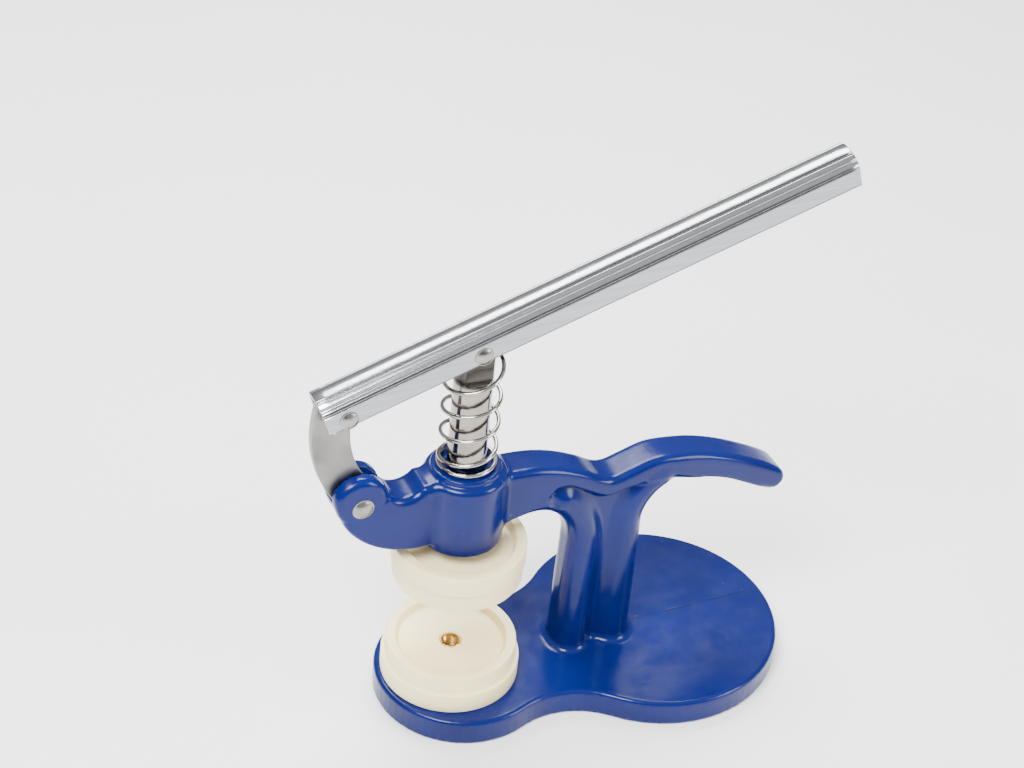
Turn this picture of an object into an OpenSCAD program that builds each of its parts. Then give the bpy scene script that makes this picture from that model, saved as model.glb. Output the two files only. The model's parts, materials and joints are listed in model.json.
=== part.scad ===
// Bench press for closing watch cases, with a cast frame, a sprung ram worked
// by a hand lever and two screwed-on nylon dies.
// Origin: ram axis at the resting plane. +Z up, +X from the dies to the tail.
// Millimetres.

/* [Base] */
// radius of the wide rear end of the base
base_big_r = 48; // [40:0.5:60]
// distance from the ram axis to the centre of the wide end
base_big_x = 82.5; // [70:0.5:100]
// radius of the front end of the base, under the dies
base_nose_r = 32; // [28:0.5:40]
// offset of the front end's centre from the ram axis
base_nose_x = 5; // [0:0.5:10]
// radius of the hollow in each side of the waist
base_waist_r = 31; // [20:1:40]
// thickness of the base plate
base_h = 10; // [6:0.5:14]

/* [Frame] */
// width of the arm, nose and tail
arm_w = 14.4; // [10:0.2:20]
// rounding of the nose's head
head_edge = 3; // [1:0.25:4]
// thickness of the web between the ribs
web_t = 8; // [4:0.5:12]
// distance from the ram axis to the middle of the front rib
front_rib_x = 47.2; // [40:0.2:55]
// distance from the ram axis to the middle of the rear rib
rear_rib_x = 64.05; // [58:0.05:75]
// rib size along the press
rib_d = 12; // [8:0.5:16]
// rib size across the press
rib_w = 15.2; // [12:0.2:20]
// radius of the arch under the arm
arch_r = 19.3; // [14:0.1:24]
// outside radius of the ram barrel
barrel_r = 14.6; // [12:0.1:18]
// height of the barrel's lower face
barrel_z0 = 73.2; // [60:0.1:80]
// height of the barrel's shoulder
barrel_z1 = 101.8; // [95:0.1:110]
// rounding of the barrel's shoulder
shoulder_e = 1.5; // [0.5:0.25:3]
// height of the spring seat on top of the barrel
seat_z = 103.8; // [98:0.1:112]
// radius of the spring seat
seat_r = 12.2; // [10:0.1:14]

/* [Ram and linkage] */
// radius of the ram
ram_r = 6.7; // [5:0.05:9]
// radial running clearance of the ram and pins
run_gap = 0.05; // [0.01:0.01:0.1]
// thickness of the ram's flat tongue
tongue_w = 9; // [6:0.1:10]
// distance from the ram pin down to the foot of the tongue
tongue_h = 13.2; // [5:0.1:16]
// height of the ram pin with the press at rest
ram_pin_z = 152.2; // [140:0.1:165]
// slope of the lever at rest, in degrees
lever_tilt = 18.35; // [10:0.05:30]
// distance between the two lever pins
pin_span = 48.35; // [40:0.05:60]
// position of the link pin in front of the ram axis
link_pin_x = -39.6; // [-50:0.1:-30]
// height of the link pin
link_pin_z = 98.8; // [85:0.1:110]
// radius of the lever pins
lever_pin_r = 1.75; // [1.5:0.05:2.5]
// radius of the link pin in the nose
link_pin_r = 2; // [1.5:0.05:3]
// thickness of the link plate
link_t = 3.5; // [2:0.1:5]
// width of the link plate
link_w = 13.2; // [9:0.1:16]
// radius of the link's clearance hole round the lever end pin
link_slot_r = 3.3; // [2:0.05:4]

/* [Lever] */
// width of the lever channel
lever_w = 14.2; // [12:0.1:18]
// lever length in front of the ram pin
lever_front = 56; // [50:0.5:70]
// lever length behind the ram pin
lever_rear = 140.8; // [100:0.1:200]
// height of the lever's flat sides
lever_side = 6.8; // [5:0.1:10]
// height of the rounded top above the flat sides
lever_crown = 5.2; // [3:0.1:8]
// distance from the pin line down to the lever's lower edge
lever_drop = 2.6; // [2.3:0.1:4]
// wall thickness of the lever channel
lever_wall = 1.8; // [1:0.1:3]
// depth of the grip flutes
flute_depth = 0.6; // [0.2:0.1:1]

/* [Dies] */
// radius of the lower die's wide band
die_band_r = 25; // [20:0.1:30]
// radius of the lower die's rim
die_rim_r = 23.5; // [18:0.1:28]
// radius of the upper die's wide band
top_band_r = 23.7; // [20:0.1:30]
// radius of the upper die's rim
top_rim_r = 23; // [18:0.1:28]
// height of a die
die_h = 15.1; // [10:0.1:20]
// height of the wide band
die_band_h = 8; // [5:0.1:12]
// radius of the recess at its mouth
mouth_r = 20; // [12:0.1:22]
// radius of the recess floor
floor_r = 18.9; // [10:0.1:21]
// depth of the recess in each face
recess_d = 3; // [1:0.1:5]
// outside radius of the brass insert
insert_r = 4; // [3.5:0.1:6]
// radius of the screw stud
stud_r = 3; // [2:0.05:4]
// height of the open space between the dies
die_gap = 31; // [20:0.5:40]

/* [Spring] */
// mean radius of the return spring
coil_r = 9.65; // [8:0.05:12]
// wire diameter
wire_d = 1.5; // [1:0.1:2.5]
// where round the ram the wire starts, as a part of one turn from the tail side
coil_phase = 0.35; // [0:0.05:1]
// number of open turns
turns = 4.2; // [3:0.1:8]

/* [Hidden] */
$fn = 96;
eps = 0.01;
fit_gap = 0.02;
plate_w = arm_w - 0.5;
web_h = web_t / 2;
lower_z = base_h;
upper_z = lower_z + die_h + die_gap;
arch_x = front_rib_x - rib_d / 2 - arch_r;
arch_z = 60.4;
heel_x = 85.5;
heel_z = 64.5;
heel_r = heel_x - rear_rib_x;
crown_x = 16.7;
crown_z = 40.5;
crown_ro = 59;
crown_ri = 52.5;
tail_x = 74.8;
tail_z = 4.9;
tail_ro = 86.4;
tail_ri = 76;
tail_end = 54.3;
tail_start = 106;
head_x = -39.9;
head_z = 100.3;
head_r = 9.7;
saddle_x = -23.5;
saddle_z = 105.5;
saddle_r = 7.5;
belly_x = -17.6;
belly_z = 108.3;
belly_r = 32.5;
slot_w = link_t + 0.6;
bore_r = ram_r + run_gap;
tongue_r = ram_r + 0.5;
ram_shoulder = ram_pin_z - tongue_h;
end_pin_x = -pin_span * cos(lever_tilt);
end_pin_z = ram_pin_z - pin_span * sin(lever_tilt);
link_cx = -5.9;
link_cz = 128;
link_ro = 50.5;
coil_base = seat_z + wire_d / 2 + 0.02;
coil_top = ram_pin_z - (lever_drop + wire_d / 2 + 0.05) / cos(lever_tilt);

// Turns a flat x-z outline into a plate centred on the midplane.
module slab(w) {
  rotate([90, 0, 0])
    linear_extrude(w, center = true)
      children();
}

// Points of a quarter round of radius e about c, from angle a.
function corner(c, e, a) = [for (t = [0 : 15 : 90]) c + e * [cos(a + t), sin(a + t)]];

// Disc lying in the x-z plane with rounded rims.
module round_disc(r, w, e) {
  rotate([90, 0, 0])
    rotate_extrude()
      polygon(concat([[0, w / 2], [0, -w / 2]],
        corner([r - e, e - w / 2], e, -90), corner([r - e, w / 2 - e], e, 0)));
}

// Outline of a bar curved about x, z between two radii and two angles.
module arc_outline(x, z, ri, ro, a0, a1) {
  far = 1.5 * ro;
  mid = (a0 + a1) / 2;
  translate([x, z])
    intersection() {
      difference() {
        circle(ro, $fn = 240);
        circle(ri, $fn = 240);
      }
      polygon([[0, 0], far * [cos(a0), sin(a0)], far * [cos(mid), sin(mid)],
        far * [cos(a1), sin(a1)]]);
    }
}

// Rib section: a flat-sided bar with fully rounded ends.
module rib_section(inset = 0) {
  off = (rib_w - rib_d) / 2;
  r = rib_d / 2 - inset;
  translate([-r, -off])
    square([2 * r, 2 * off]);
  translate([0, off])
    circle(r);
  translate([0, -off])
    circle(r);
}

// Curved bar standing in the x-z plane from angle a0 through sweep.
module arc_bar(x, z, a0, sweep) {
  translate([x, 0, z])
    rotate([90, 0, 0])
      rotate([0, 0, a0])
        rotate_extrude(angle = sweep)
          children();
}

// Points of an arc about c, from angle a0 to a1, in near-equal steps.
function arc(c, r, a0, a1) =
  let (n = ceil(abs(a1 - a0) / 4))
  [for (i = [0 : n]) c + r * [cos(a0 + (a1 - a0) * i / n), sin(a0 + (a1 - a0) * i / n)]];

// Plate with two round ends and a hollow on each side of its waist.
module base_plate() {
  span = base_big_x - base_nose_x;
  r1 = base_nose_r + base_waist_r;
  r2 = base_big_r + base_waist_r;
  wx = (span * span + r1 * r1 - r2 * r2) / (2 * span);
  wy = sqrt(r1 * r1 - wx * wx);
  p1 = atan2(wy, wx);
  p2 = atan2(wy, span - wx);
  linear_extrude(base_h)
    polygon(concat(
      arc([base_nose_x, 0], base_nose_r, p1, 360 - p1),
      arc([base_nose_x + wx, -wy], base_waist_r, 180 - p1 - 2, p2 + 2),
      arc([base_big_x, 0], base_big_r, p2 - 180, 180 - p2),
      arc([base_nose_x + wx, wy], base_waist_r, -p2 - 2, p1 - 180 + 2)));
}

module ribs() {
  translate([front_rib_x, 0, base_h - 1])
    linear_extrude(arch_z - base_h + 2)
      rib_section(0.1);
  arc_bar(arch_x, arch_z, 0, 70)
    translate([arch_r + rib_d / 2, 0])
      rib_section();
  translate([rear_rib_x, 0, base_h - 1])
    linear_extrude(heel_z - base_h + 2)
      rib_section(0.1);
  arc_bar(heel_x, heel_z, 122, 58)
    translate([heel_r, 0])
      rib_section();
}

// Low collar where the ribs grow out of the base.
module foot() {
  for (x = [front_rib_x, rear_rib_x])
    for (s = [-1, 1])
      translate([x, s * (rib_w - rib_d) / 2, base_h - 0.5])
        cylinder(h = 4.5, r1 = rib_d / 2 + 3, r2 = rib_d / 2 - 1);
  translate([front_rib_x, -web_h - 1.5, base_h - 0.5])
    cube([rear_rib_x - front_rib_x, web_t + 3, 2.5]);
}

module web() {
  slab(web_t) {
    translate([front_rib_x, base_h - 1])
      square([rear_rib_x - front_rib_x, 68]);
    difference() {
      union() {
        intersection() {
          translate([crown_x, crown_z])
            circle(crown_ri + 1);
          translate([28, 58])
            square([32, 40]);
        }
        intersection() {
          translate([tail_x, tail_z])
            circle(tail_ri + 1);
          translate([46, 58])
            square([40, 30]);
        }
      }
      translate([arch_x, arch_z])
        circle(arch_r + 2);
      translate([heel_x, heel_z])
        circle(heel_r - rib_d / 2 + 2);
    }
  }
}

// Side outline of the arm between the barrel and the front rib's bend.
module arm_outline() {
  difference() {
    intersection() {
      translate([crown_x, crown_z])
        circle(crown_ri + 1);
      translate([0, arch_z + 12])
        square([37, 60]);
    }
    translate([arch_x, arch_z])
      circle(arch_r);
    difference() {
      translate([29.5, arch_z])
        square([20, 40]);
      translate([arch_x + 0.6, arch_z - 4])
        circle(arch_r + 11.1);
    }
  }
}

// Fillet between the rear rib and the underside of the tail.
module heel_outline() {
  difference() {
    translate([rear_rib_x + 4, heel_z + 9])
      square([heel_x - rear_rib_x - 4, 9]);
    translate([heel_x, heel_z])
      circle(heel_r - rib_d / 2);
  }
}

module arm_and_tail() {
  tail_rm = (tail_ro + tail_ri) / 2;
  slab(arm_w) {
    arm_outline();
    heel_outline();
    arc_outline(crown_x, crown_z, crown_ri, crown_ro, 46, 96);
    arc_outline(tail_x, tail_z, tail_ri, tail_ro, tail_end, tail_start);
    translate([tail_x + tail_rm * cos(tail_end), tail_z + tail_rm * sin(tail_end)])
      circle((tail_ro - tail_ri) / 2 - 0.1);
  }
}

module barrel() {
  rotate_extrude() {
    translate([0, barrel_z0])
      square([barrel_r, barrel_z1 - barrel_z0 - shoulder_e]);
    translate([0, barrel_z0])
      square([barrel_r - shoulder_e, barrel_z1 - barrel_z0]);
    translate([barrel_r - shoulder_e, barrel_z1 - shoulder_e])
      circle(shoulder_e, $fn = 32);
    translate([0, barrel_z1 - 1])
      square([seat_r, seat_z - barrel_z1 + 0.4]);
    translate([0, barrel_z1 - 1])
      square([seat_r - 0.6, seat_z - barrel_z1 + 1]);
    translate([seat_r - 0.6, seat_z - 0.6])
      circle(0.6, $fn = 32);
  }
}

// Nose with the rounded head that carries the link pin.
module nose() {
  slab(plate_w)
    difference() {
      intersection() {
        translate([belly_x, belly_z])
          circle(belly_r, $fn = 180);
        translate([head_x - 7, barrel_z0])
          square([-head_x - 1, barrel_z1 - barrel_z0 - 0.4]);
      }
      translate([saddle_x, saddle_z])
        circle(saddle_r);
    }
  translate([head_x, 0, head_z])
    round_disc(head_r, arm_w, head_edge);
}

module frame_cuts() {
  translate([0, 0, barrel_z0 - 1])
    cylinder(h = seat_z - barrel_z0 + 2, r = bore_r);
  translate([link_pin_x, 0, link_pin_z])
    rotate([90, 0, 0])
      cylinder(h = arm_w + 2, r = link_pin_r + fit_gap, center = true);
  slab(slot_w) {
    translate([head_x - head_r - 2, link_pin_z])
      square([head_r + 2 - head_x - 24, 20]);
    translate([link_pin_x, link_pin_z])
      circle(8.2);
  }
  translate([0, 0, 3])
    cylinder(h = base_h, r = stud_r + fit_gap);
}

module frame() {
  color([0.05, 0.16, 0.6])
    difference() {
      union() {
        base_plate();
        foot();
        ribs();
        web();
        arm_and_tail();
        barrel();
        nose();
      }
      frame_cuts();
    }
}

// Nylon die standing on its wide band, with a recess in both faces.
module die(band_r, rim_r) {
  color([0.93, 0.9, 0.78])
    difference() {
      union() {
        cylinder(h = die_band_h - 0.5, r = band_r);
        translate([0, 0, die_band_h - 0.5])
          cylinder(h = 0.5, r1 = band_r, r2 = band_r - 0.5);
        cylinder(h = die_h - 0.5, r = rim_r);
        translate([0, 0, die_h - 0.5])
          cylinder(h = 0.5, r1 = rim_r, r2 = rim_r - 0.5);
      }
      translate([0, 0, die_h - recess_d])
        cylinder(h = recess_d + eps, r1 = floor_r, r2 = mouth_r);
      translate([0, 0, -eps])
        cylinder(h = recess_d + eps, r1 = mouth_r, r2 = floor_r);
      cylinder(h = die_h, r = insert_r + fit_gap);
    }
}

module insert() {
  color([0.72, 0.53, 0.22])
    translate([0, 0, recess_d])
      difference() {
        cylinder(h = die_h - 2 * recess_d, r = insert_r);
        translate([0, 0, -1])
          cylinder(h = die_h, r = stud_r + run_gap);
      }
}

module lower_die() {
  translate([0, 0, lower_z])
    die(die_band_r, die_rim_r);
}

module lower_insert() {
  translate([0, 0, lower_z])
    insert();
}

module lower_stud() {
  color([0.6, 0.6, 0.62])
    translate([0, 0, 3 + fit_gap]) {
      cylinder(h = 13.3, r = stud_r);
      translate([0, 0, 13.3])
        cylinder(h = 0.7, r1 = stud_r, r2 = stud_r - 0.7);
    }
}

module upper_die() {
  translate([0, 0, upper_z + die_h])
    rotate([180, 0, 0])
      die(top_band_r, top_rim_r);
}

module upper_insert() {
  translate([0, 0, upper_z])
    insert();
}

module upper_stud() {
  color([0.6, 0.6, 0.62])
    translate([0, 0, upper_z + recess_d + 1.5])
      difference() {
        cylinder(h = die_h - 2 * recess_d + 4.5, r = stud_r);
        translate([0, 0, -eps])
          cylinder(h = 1.2, r = 1.2, $fn = 6);
      }
}

module ram() {
  z0 = upper_z + die_h - recess_d;
  color([0.75, 0.75, 0.76])
    difference() {
      union() {
        translate([0, 0, z0])
          cylinder(h = 0.6, r1 = ram_r - 0.6, r2 = ram_r);
        translate([0, 0, z0 + 0.6])
          cylinder(h = ram_shoulder - z0 - 0.6, r = ram_r);
        intersection() {
          translate([0, 0, ram_shoulder - 1])
            cylinder(h = tongue_h + 8, r = ram_r);
          slab(tongue_w) {
            translate([0, ram_pin_z - 1.9])
              circle(tongue_r);
            translate([-tongue_r, ram_shoulder - 2])
              square([2 * tongue_r, tongue_h]);
          }
        }
      }
      translate([0, 0, ram_pin_z])
        rotate([90, 0, 0])
          cylinder(h = 20, r = lever_pin_r + run_gap, center = true);
      translate([0, 0, z0 - 1])
        cylinder(h = 8, r = stud_r + fit_gap);
    }
}

// Places children on the lever's own axes: x along it from the ram pin, z up.
module on_lever() {
  translate([0, 0, ram_pin_z])
    rotate([0, -lever_tilt, 0])
      children();
}

// Depth of the grip flutes at angle a of the rounded top.
function dip(a, mid, half) =
  let (t = abs(a - mid) / half)
  t < 1 ? (1 + cos(180 * t)) / 2 : 0;
function flute(a) =
  let (b = a > 90 ? 180 - a : a)
  flute_depth * max(dip(b, 7, 6), dip(b, 32, 12), dip(b, 63, 7));
function crown_pt(a, hw, h, cut) =
  let (n = norm([hw * cos(a), h * sin(a)]))
  [(n - cut) / n * hw * cos(a), (n - cut) / n * h * sin(a)];

module lever_section() {
  hw = lever_w / 2;
  ih = hw - lever_wall;
  top = lever_side - lever_drop;
  difference() {
    polygon(concat([[hw, -lever_drop]],
      [for (a = [0 : 2.5 : 180]) crown_pt(a, hw, lever_crown, flute(a)) + [0, top]],
      [[-hw, -lever_drop]]));
    polygon(concat([[ih, -lever_drop - 1]],
      [for (a = [0 : 7.5 : 180]) crown_pt(a, ih, lever_crown - lever_wall, 0) + [0, top]],
      [[-ih, -lever_drop - 1]]));
  }
}

module lever() {
  color([0.82, 0.83, 0.85])
    on_lever()
      difference() {
        translate([-lever_front, 0, 0])
          rotate([90, 0, 90])
            linear_extrude(lever_front + lever_rear)
              lever_section();
        for (x = [0, -pin_span])
          translate([x, 0, 0])
            rotate([90, 0, 0])
              cylinder(h = 20, r = lever_pin_r + fit_gap, center = true);
      }
}

// Rivet with two domed heads, lying across the press.
module rivet(r, grip, head_r, head_h) {
  dome = (head_r * head_r + head_h * head_h) / (2 * head_h);
  color([0.78, 0.78, 0.78])
    rotate([90, 0, 0]) {
      cylinder(h = grip + 0.2, r = r, center = true);
      for (m = [0, 1])
        mirror([0, 0, m])
          translate([0, 0, grip / 2 + 0.03])
            rotate_extrude()
              intersection() {
                translate([0, head_h - dome])
                  circle(dome);
                square([head_r, head_h]);
              }
    }
}

module lever_end_pin() {
  on_lever()
    translate([-pin_span, 0, 0])
      rivet(lever_pin_r, lever_w, 3.4, 1.2);
}

module ram_pin() {
  on_lever()
    rivet(lever_pin_r, lever_w, 3.4, 1.2);
}

module link_pin() {
  translate([link_pin_x, 0, link_pin_z])
    rivet(link_pin_r, arm_w, 3.8, 1.4);
}

// Bowed plate that ties the lever's front end to the nose.
module link() {
  ri = link_ro - link_w;
  color([0.55, 0.56, 0.57])
    slab(link_t)
      difference() {
        union() {
          intersection() {
            difference() {
              translate([link_cx, link_cz])
                circle(link_ro, $fn = 240);
              translate([link_cx, link_cz])
                circle(ri, $fn = 180);
            }
            translate([-60, link_pin_z])
              square([26, end_pin_z + 2 - link_pin_z]);
          }
          translate([link_pin_x, link_pin_z])
            circle(link_w / 2);
          difference() {
            translate([end_pin_x, end_pin_z])
              circle(6.9);
            translate([end_pin_x + 2.7, end_pin_z - 12])
              square([10, 9.8]);
          }
          translate([end_pin_x - 3.4, end_pin_z - 0.6])
            circle(5.8);
        }
        translate([link_pin_x, link_pin_z])
          circle(link_pin_r + run_gap);
        translate([end_pin_x, end_pin_z])
          circle(link_slot_r);
      }
}

// Centre line of the spring wire at t from 0 to 1: one closed turn on the seat, then open
// turns up to the lever, where the wire ends.
closed = 1;
all_turns = turns + closed;
function coil_z(t, a) =
  let (n = t * all_turns)
  let (low = coil_base + wire_d * min(n, closed) * 0.6)
  let (high = coil_top + coil_r * cos(a) * tan(lever_tilt))
  let (u = max(0, min(1, (n - closed) / turns)))
  low * (1 - u) + high * u;
function coil_turn(t) = 360 * (all_turns * t + coil_phase);
function coil_pt(t) =
  let (a = coil_turn(t))
  [coil_r * cos(a), coil_r * sin(a), coil_z(t, a)];

module return_spring() {
  steps = 200;
  sides = 8;
  pts = [for (i = [0 : steps])
    let (a = coil_turn(i / steps))
    for (j = [0 : sides - 1])
      let (b = 360 * j / sides)
      coil_pt(i / steps) + wire_d / 2 * [cos(a) * cos(b), sin(a) * cos(b), sin(b)]];
  sides_f = [for (i = [0 : steps - 1])
    for (j = [0 : sides - 1])
      let (k = (j + 1) % sides)
      [i * sides + j, i * sides + k, (i + 1) * sides + k, (i + 1) * sides + j]];
  color([0.7, 0.7, 0.7])
    polyhedron(pts, concat(sides_f,
      [[for (j = [sides - 1 : -1 : 0]) j]],
      [[for (j = [0 : sides - 1]) steps * sides + j]]), convexity = 10);
}

frame();
lower_stud();
lower_die();
lower_insert();
upper_die();
upper_insert();
ram();
upper_stud();
return_spring();
lever();
link();
link_pin();
lever_end_pin();
ram_pin();
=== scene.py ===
"""A bench press for closing watch cases: a blue enamelled casting, a sprung ram
worked by a fluted lever, and two screwed-on nylon dies, on a pale studio floor.

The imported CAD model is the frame. Shapes are worked out in millimetres, in the
CAD's own axes, and written to meshes in metres.
"""
import json
from math import atan2, cos, degrees, pi, radians, sin, sqrt, tan

import bpy
import numpy as np
from mathutils import Matrix, Vector


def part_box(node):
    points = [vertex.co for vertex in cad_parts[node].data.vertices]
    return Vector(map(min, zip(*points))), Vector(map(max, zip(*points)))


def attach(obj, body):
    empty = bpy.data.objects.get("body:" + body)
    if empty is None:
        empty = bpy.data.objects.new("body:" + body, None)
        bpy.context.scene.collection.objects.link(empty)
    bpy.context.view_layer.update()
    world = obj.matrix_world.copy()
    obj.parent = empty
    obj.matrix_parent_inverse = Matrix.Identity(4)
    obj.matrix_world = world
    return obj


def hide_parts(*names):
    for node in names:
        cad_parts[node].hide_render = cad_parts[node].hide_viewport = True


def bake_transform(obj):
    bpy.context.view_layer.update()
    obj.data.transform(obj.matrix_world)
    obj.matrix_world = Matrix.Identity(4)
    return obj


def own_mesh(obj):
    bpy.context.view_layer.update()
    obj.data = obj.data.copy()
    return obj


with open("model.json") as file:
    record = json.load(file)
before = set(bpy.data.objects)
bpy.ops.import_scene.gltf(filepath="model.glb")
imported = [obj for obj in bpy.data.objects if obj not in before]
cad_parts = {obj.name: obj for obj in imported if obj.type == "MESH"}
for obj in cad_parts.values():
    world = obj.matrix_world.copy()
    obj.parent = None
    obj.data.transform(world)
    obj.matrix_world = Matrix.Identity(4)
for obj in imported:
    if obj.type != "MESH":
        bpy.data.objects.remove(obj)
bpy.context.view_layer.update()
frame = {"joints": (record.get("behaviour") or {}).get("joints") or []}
MM = 0.001

# ------------------------------------------------------------- driving sizes
JOINTS = {j["name"]: j for j in frame["joints"]}
RAM_PIN = np.array(JOINTS["lever_pivot"]["pos_m"]) / MM
LINK_PIN = np.array(JOINTS["link_pivot"]["pos_m"]) / MM


def box_mm(node):
    """Lowest and highest corners of a CAD node, in millimetres."""
    low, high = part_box(node)
    return np.array(low) / MM, np.array(high) / MM


RAM_FOOT = box_mm("ram")[0][2]

# casting: circles are (x, z, radius), and (x, radius) in the base's plan
ARM_HALF, ARM_EDGE_R = 7.2, 2.8
WEB_HALF = 4.0
BASE_H, BASE_EDGE_R, BASE_FOOT_R = 10.0, 1.6, 0.8
BASE_BIG, BASE_NOSE = (82.5, 48.0), (5.0, 32.0)
WAIST_R = 31.0
BARREL_R, BARREL_EDGE_R = 14.6, 2.4
BARREL_LO, BARREL_HI = 73.2, 101.8
SEAT_R, SEAT_Z = 12.2, 103.8
BORE_R, BORE_FROM = 6.75, 40
FRONT_RIB_X, REAR_RIB_X = 47.2, 64.05
RIB_R, RIB_HALF, RIB_SWELL, RIB_SINK = 6.0, 7.6, 0.7, 5.0
ARCH, HEEL = (21.9, 60.4, 19.3), (85.5, 64.5, 21.45)
HEAD, SADDLE, BELLY = (-39.9, 100.3, 9.7), (-23.5, 105.5, 7.4), (-17.6, 108.3, 32.5)
NOSE_TOP = 101.2
# the nose's slot: round about the pin, and flat-floored a little above the pin
SLOT_HALF, SLOT_R, SLOT_FLOOR = 2.05, 8.2, 1.8
SLOT_FLAT_END, SLOT_ROUND_END = -28.5, -22
# fillets where the casting's parts run together
FRONT_RIB_FILLET, REAR_RIB_FILLET, WEB_FILLET = 1.2, 1.6, 2.4
NOSE_FILLET, BARREL_FILLET, BASE_FILLET = 2.0, 1.8, 3.0

# dies
DIE_HOLE_R = 4.1
RECESS_R, RECESS_FLOOR_R, RECESS_DEPTH = 20.0, 18.9, 3.0
BAND_H = 8.0
BUSH_R, BUSH_HOLE_R, STUD_R = 4.0, 3.05, 3.0
THREAD_PITCH = 1.0

# linkage
LEVER_TILT = radians(18.35)
PIN_SPAN = 48.35
LEVER_W = 14.2
LEVER_FRONT, LEVER_REAR = 56.0, 140.8
LEVER_DROP, LEVER_SIDE, LEVER_CROWN, LEVER_WALL = 2.6, 6.8, 5.2, 1.8
# grip flutes on each side of the crown: middle and half width, in degrees up from its edge
FLUTES, FLUTE_DEPTH = ((7, 5.5), (32, 11.5), (63, 6.5)), 0.62
LIP_R = 0.45
END_PIN = RAM_PIN - PIN_SPAN * np.array([cos(LEVER_TILT), 0, sin(LEVER_TILT)])
LINK_T, LINK_W = 3.5, 13.2
LINK_BOW = (-5.9, 128.0, 50.5)
PIN_R, PIN_HOLE_R, PIN_HEAD = 1.75, 1.8, (3.4, 1.2)
NOSE_PIN_R, NOSE_PIN_HOLE_R, NOSE_PIN_HEAD = 2.0, 2.05, (3.8, 1.4)
NOSE_W = 14.4

# ram and spring
RAM_R = 6.7
TONGUE_W, TONGUE_H = 9.0, 13.2
TONGUE_DOME = (0, RAM_PIN[2] - 1.9, 7.2)
COIL_R, WIRE_R, OPEN_TURNS, COIL_PHASE = 9.65, 0.75, 4.2, 0.35


# ------------------------------------------------------------------ mesh kit
def link_object(name, mesh):
    """New object with the given data, put in the scene."""
    obj = bpy.data.objects.new(name, mesh)
    bpy.context.scene.collection.objects.link(obj)
    return obj


def mesh_piece(name, points, faces, material):
    """Smooth-shaded object from points in millimetres and faces, of one material."""
    mesh = bpy.data.meshes.new(name)
    mesh.from_pydata((np.asarray(points) * MM).tolist(), [], [tuple(f) for f in faces])
    mesh.validate()
    mesh.polygons.foreach_set("use_smooth", [True] * len(mesh.polygons))
    mesh.materials.append(material)
    mesh.update()
    return link_object(name, mesh)


def sharpen(obj, angle):
    """Keeps edges steeper than angle, in degrees, crisp on an otherwise smooth piece."""
    obj.data.set_sharp_from_angle(angle=radians(angle))
    return obj


def grid_faces(rows, cols, wrap_rows=False):
    """Quads over rows of points stored row by row, each row a closed ring."""
    r, c = np.meshgrid(np.arange(rows if wrap_rows else rows - 1), np.arange(cols),
                       indexing="ij")
    r2, c2 = (r + 1) % rows, (c + 1) % cols
    quads = np.stack([r * cols + c, r * cols + c2, r2 * cols + c2, r2 * cols + c], -1)
    return quads.reshape(-1, 4).tolist()


def round_corners(points, radii, steps=5):
    """Open outline of (r, z) points with each inner corner rounded."""
    out = [np.array(points[0], float)]
    for i in range(1, len(points) - 1):
        p, q, s = (np.array(points[k], float) for k in (i - 1, i, i + 1))
        radius = radii[i]
        if radius == 0:
            out.append(q)
            continue
        a, b = (p - q) / np.linalg.norm(p - q), (s - q) / np.linalg.norm(s - q)
        half = 0.5 * np.arccos(np.clip(a @ b, -1, 1))
        run = radius / np.tan(half)
        centre = q + (a + b) / np.linalg.norm(a + b) * radius / np.sin(half)
        u, v = q + a * run - centre, q + b * run - centre
        for t in np.linspace(0, 1, steps):
            w = u * (1 - t) + v * t
            out.append(centre + w / np.linalg.norm(w) * radius)
    out.append(np.array(points[-1], float))
    return np.array(out)


def lathe(name, profile, material, sides, place=Matrix.Identity(4)):
    """Turned piece about Z from (r, z) points; an end on the axis closes as a fan."""
    turns = np.linspace(0, 2 * pi, sides, endpoint=False)
    points, faces, ring_at = [], [], []
    for r, z in profile:
        ring_at.append((len(points), r > 1e-6))
        if r > 1e-6:
            points += [(r * cos(t), r * sin(t), z) for t in turns]
        else:
            points.append((0, 0, z))
    for (i, i_ring), (j, j_ring) in zip(ring_at, ring_at[1:]):
        for k in range(sides):
            n = (k + 1) % sides
            if i_ring and j_ring:
                faces.append((i + k, i + n, j + n, j + k))
            elif i_ring:
                faces.append((i + k, i + n, j))
            elif j_ring:
                faces.append((i, j + n, j + k))
    moved = [place @ Vector(p) for p in points]
    return mesh_piece(name, moved, faces, material)


def tube(path, radius, sides):
    """Points and faces of a round wire along path, with domed ends."""
    path = np.asarray(path, float)
    ahead = np.gradient(path, axis=0)
    ahead /= np.linalg.norm(ahead, axis=1)[:, None]
    side = np.cross(ahead, [0, 0, 1.0])
    side /= np.linalg.norm(side, axis=1)[:, None]
    up = np.cross(side, ahead)
    t = np.linspace(0, 2 * pi, sides, endpoint=False)
    # each end's dome: how far past the end its rings lie, and their radii, in wire radii
    past, small = np.array([0.35, 0.7, 0.95]), np.array([0.94, 0.71, 0.31])
    first = path[0] - np.outer(past[::-1], ahead[0]) * radius
    last = path[-1] + np.outer(past, ahead[-1]) * radius
    centres = np.vstack([first, path, last])
    sizes = radius * np.concatenate([small[::-1], np.ones(len(path)), small])
    rings = np.clip(np.arange(len(centres)) - len(past), 0, len(path) - 1)
    side, up = side[rings], up[rings]
    ring = side[:, None] * np.cos(t)[None, :, None] + up[:, None] * np.sin(t)[None, :, None]
    points = centres[:, None] + ring * sizes[:, None, None]
    faces = grid_faces(len(centres), sides)
    faces.append(list(range(sides))[::-1])
    faces.append([(len(centres) - 1) * sides + k for k in range(sides)])
    return points.reshape(-1, 3), faces


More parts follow.
